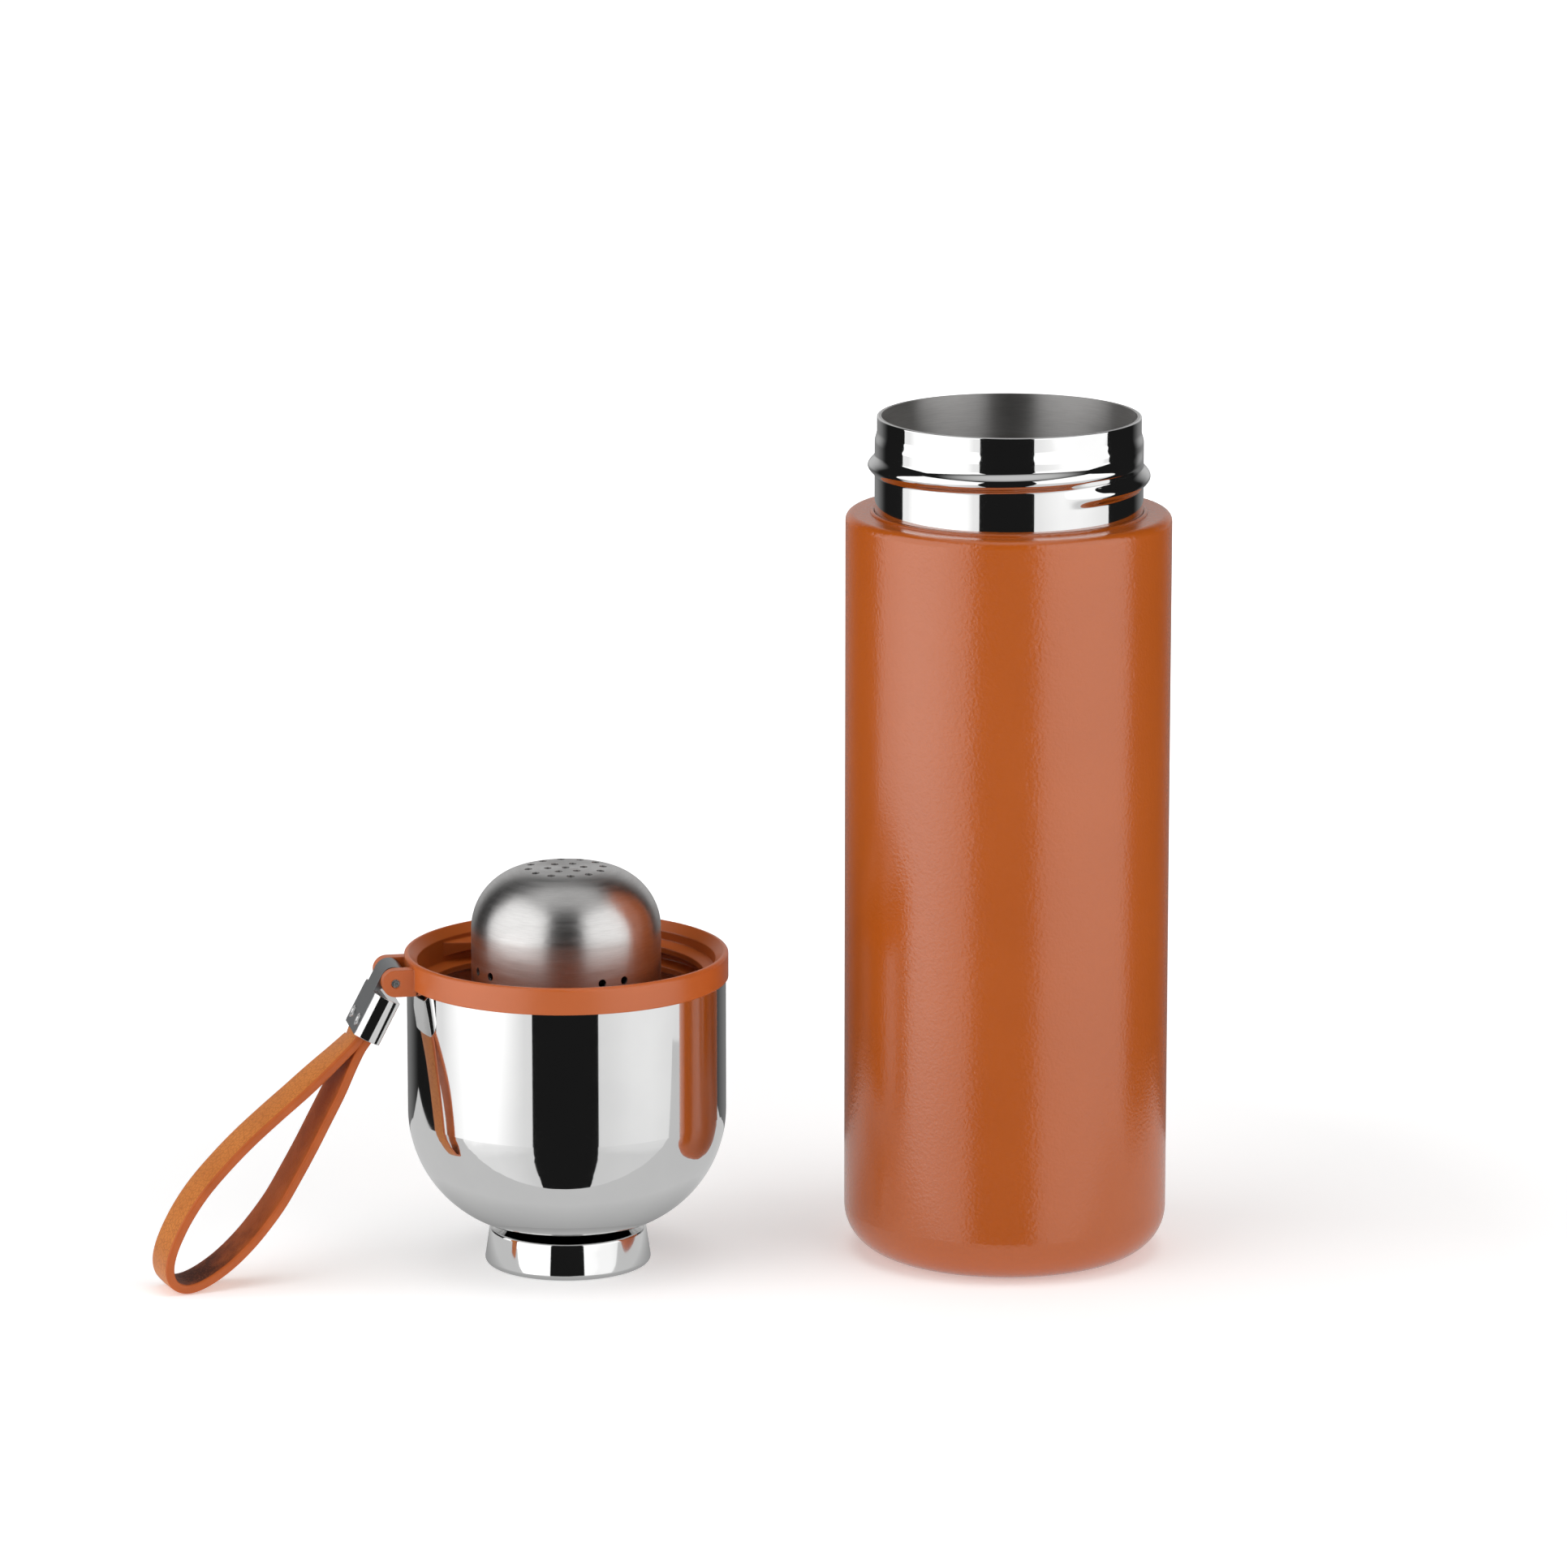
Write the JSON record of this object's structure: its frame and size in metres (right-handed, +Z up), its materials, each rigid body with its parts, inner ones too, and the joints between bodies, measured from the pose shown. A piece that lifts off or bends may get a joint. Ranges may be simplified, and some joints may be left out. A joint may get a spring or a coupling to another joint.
{
  "type": "tea bottle",
  "caption": "Double-walled steel bottle with a threaded mouth, beside its domed lid: the lid stands inverted on its foot and carries a perforated tea infuser and a hinged leather wrist strap.",
  "frame": {"origin": "centre of the bottle's base, on the surface that the bottle and the lid stand on", "axes": "+Z up along the bottle; -X towards the lid that stands beside the bottle; +Y to the back"},
  "size_m": [0.2249, 0.084, 0.1888],
  "materials": {
    "powder_coat": "satin powder coat with a fine pebbled texture",
    "polished_steel": "mirror-polished stainless steel",
    "brushed_steel": "stainless steel brushed round its axis",
    "bracket_steel": "satin stainless sheet",
    "pin_steel": "fine satin, rounded ends",
    "collar_plastic": "smooth satin moulding",
    "liner_plastic": "fine satin moulding",
    "silicone": "smooth matt silicone",
    "foam": "open beaded foam",
    "foil": "bright foil",
    "seal_glass": "fused bead",
    "getter_metal": "pressed powder",
    "strap_leather": "smooth full-grain leather with painted edges"
  },
  "bodies": {
    "bottle": {"outer_shell": "powder_coat", "base_cap": "brushed_steel", "base_disc": "brushed_steel", "vacuum_seal": "seal_glass", "getter": "getter_metal", "neck_collar": "polished_steel", "inner_flask": "brushed_steel", "foil_wrap": "foil"},
    "lid": {"lid_shell": "polished_steel", "foot_ring": "polished_steel", "lid_collar": "collar_plastic", "lid_liner": "liner_plastic", "lid_insulation": "foam", "lid_gasket": "silicone", "infuser_socket": "brushed_steel", "hinge_pin": "pin_steel"},
    "infuser": {"infuser_dome": "brushed_steel", "infuser_ring": "liner_plastic", "infuser_oring": "silicone"},
    "strap": {"strap_bracket": "bracket_steel", "strap_sleeve": "polished_steel", "strap_rivets": "pin_steel", "strap": "strap_leather"}
  },
  "joints": [
    {"name": "lid_carry", "type": "hinge", "parent": "bottle", "child": "lid", "pos_m": [-0.04885, -0.00605, 0.143], "axis": [-0.1229, 0.9924, 0], "range_deg": [0, 180]},
    {"name": "infuser_pull", "type": "slide", "parent": "lid", "child": "infuser", "axis": [0, 0, 1], "range_m": [0, 0.05]},
    {"name": "strap_swing", "type": "hinge", "parent": "lid", "child": "strap", "pos_m": [-0.13618, -0.01958, 0.0669], "axis": [-0.1908, 0.9816, 0], "range_deg": [-27, 134]}
  ]
}
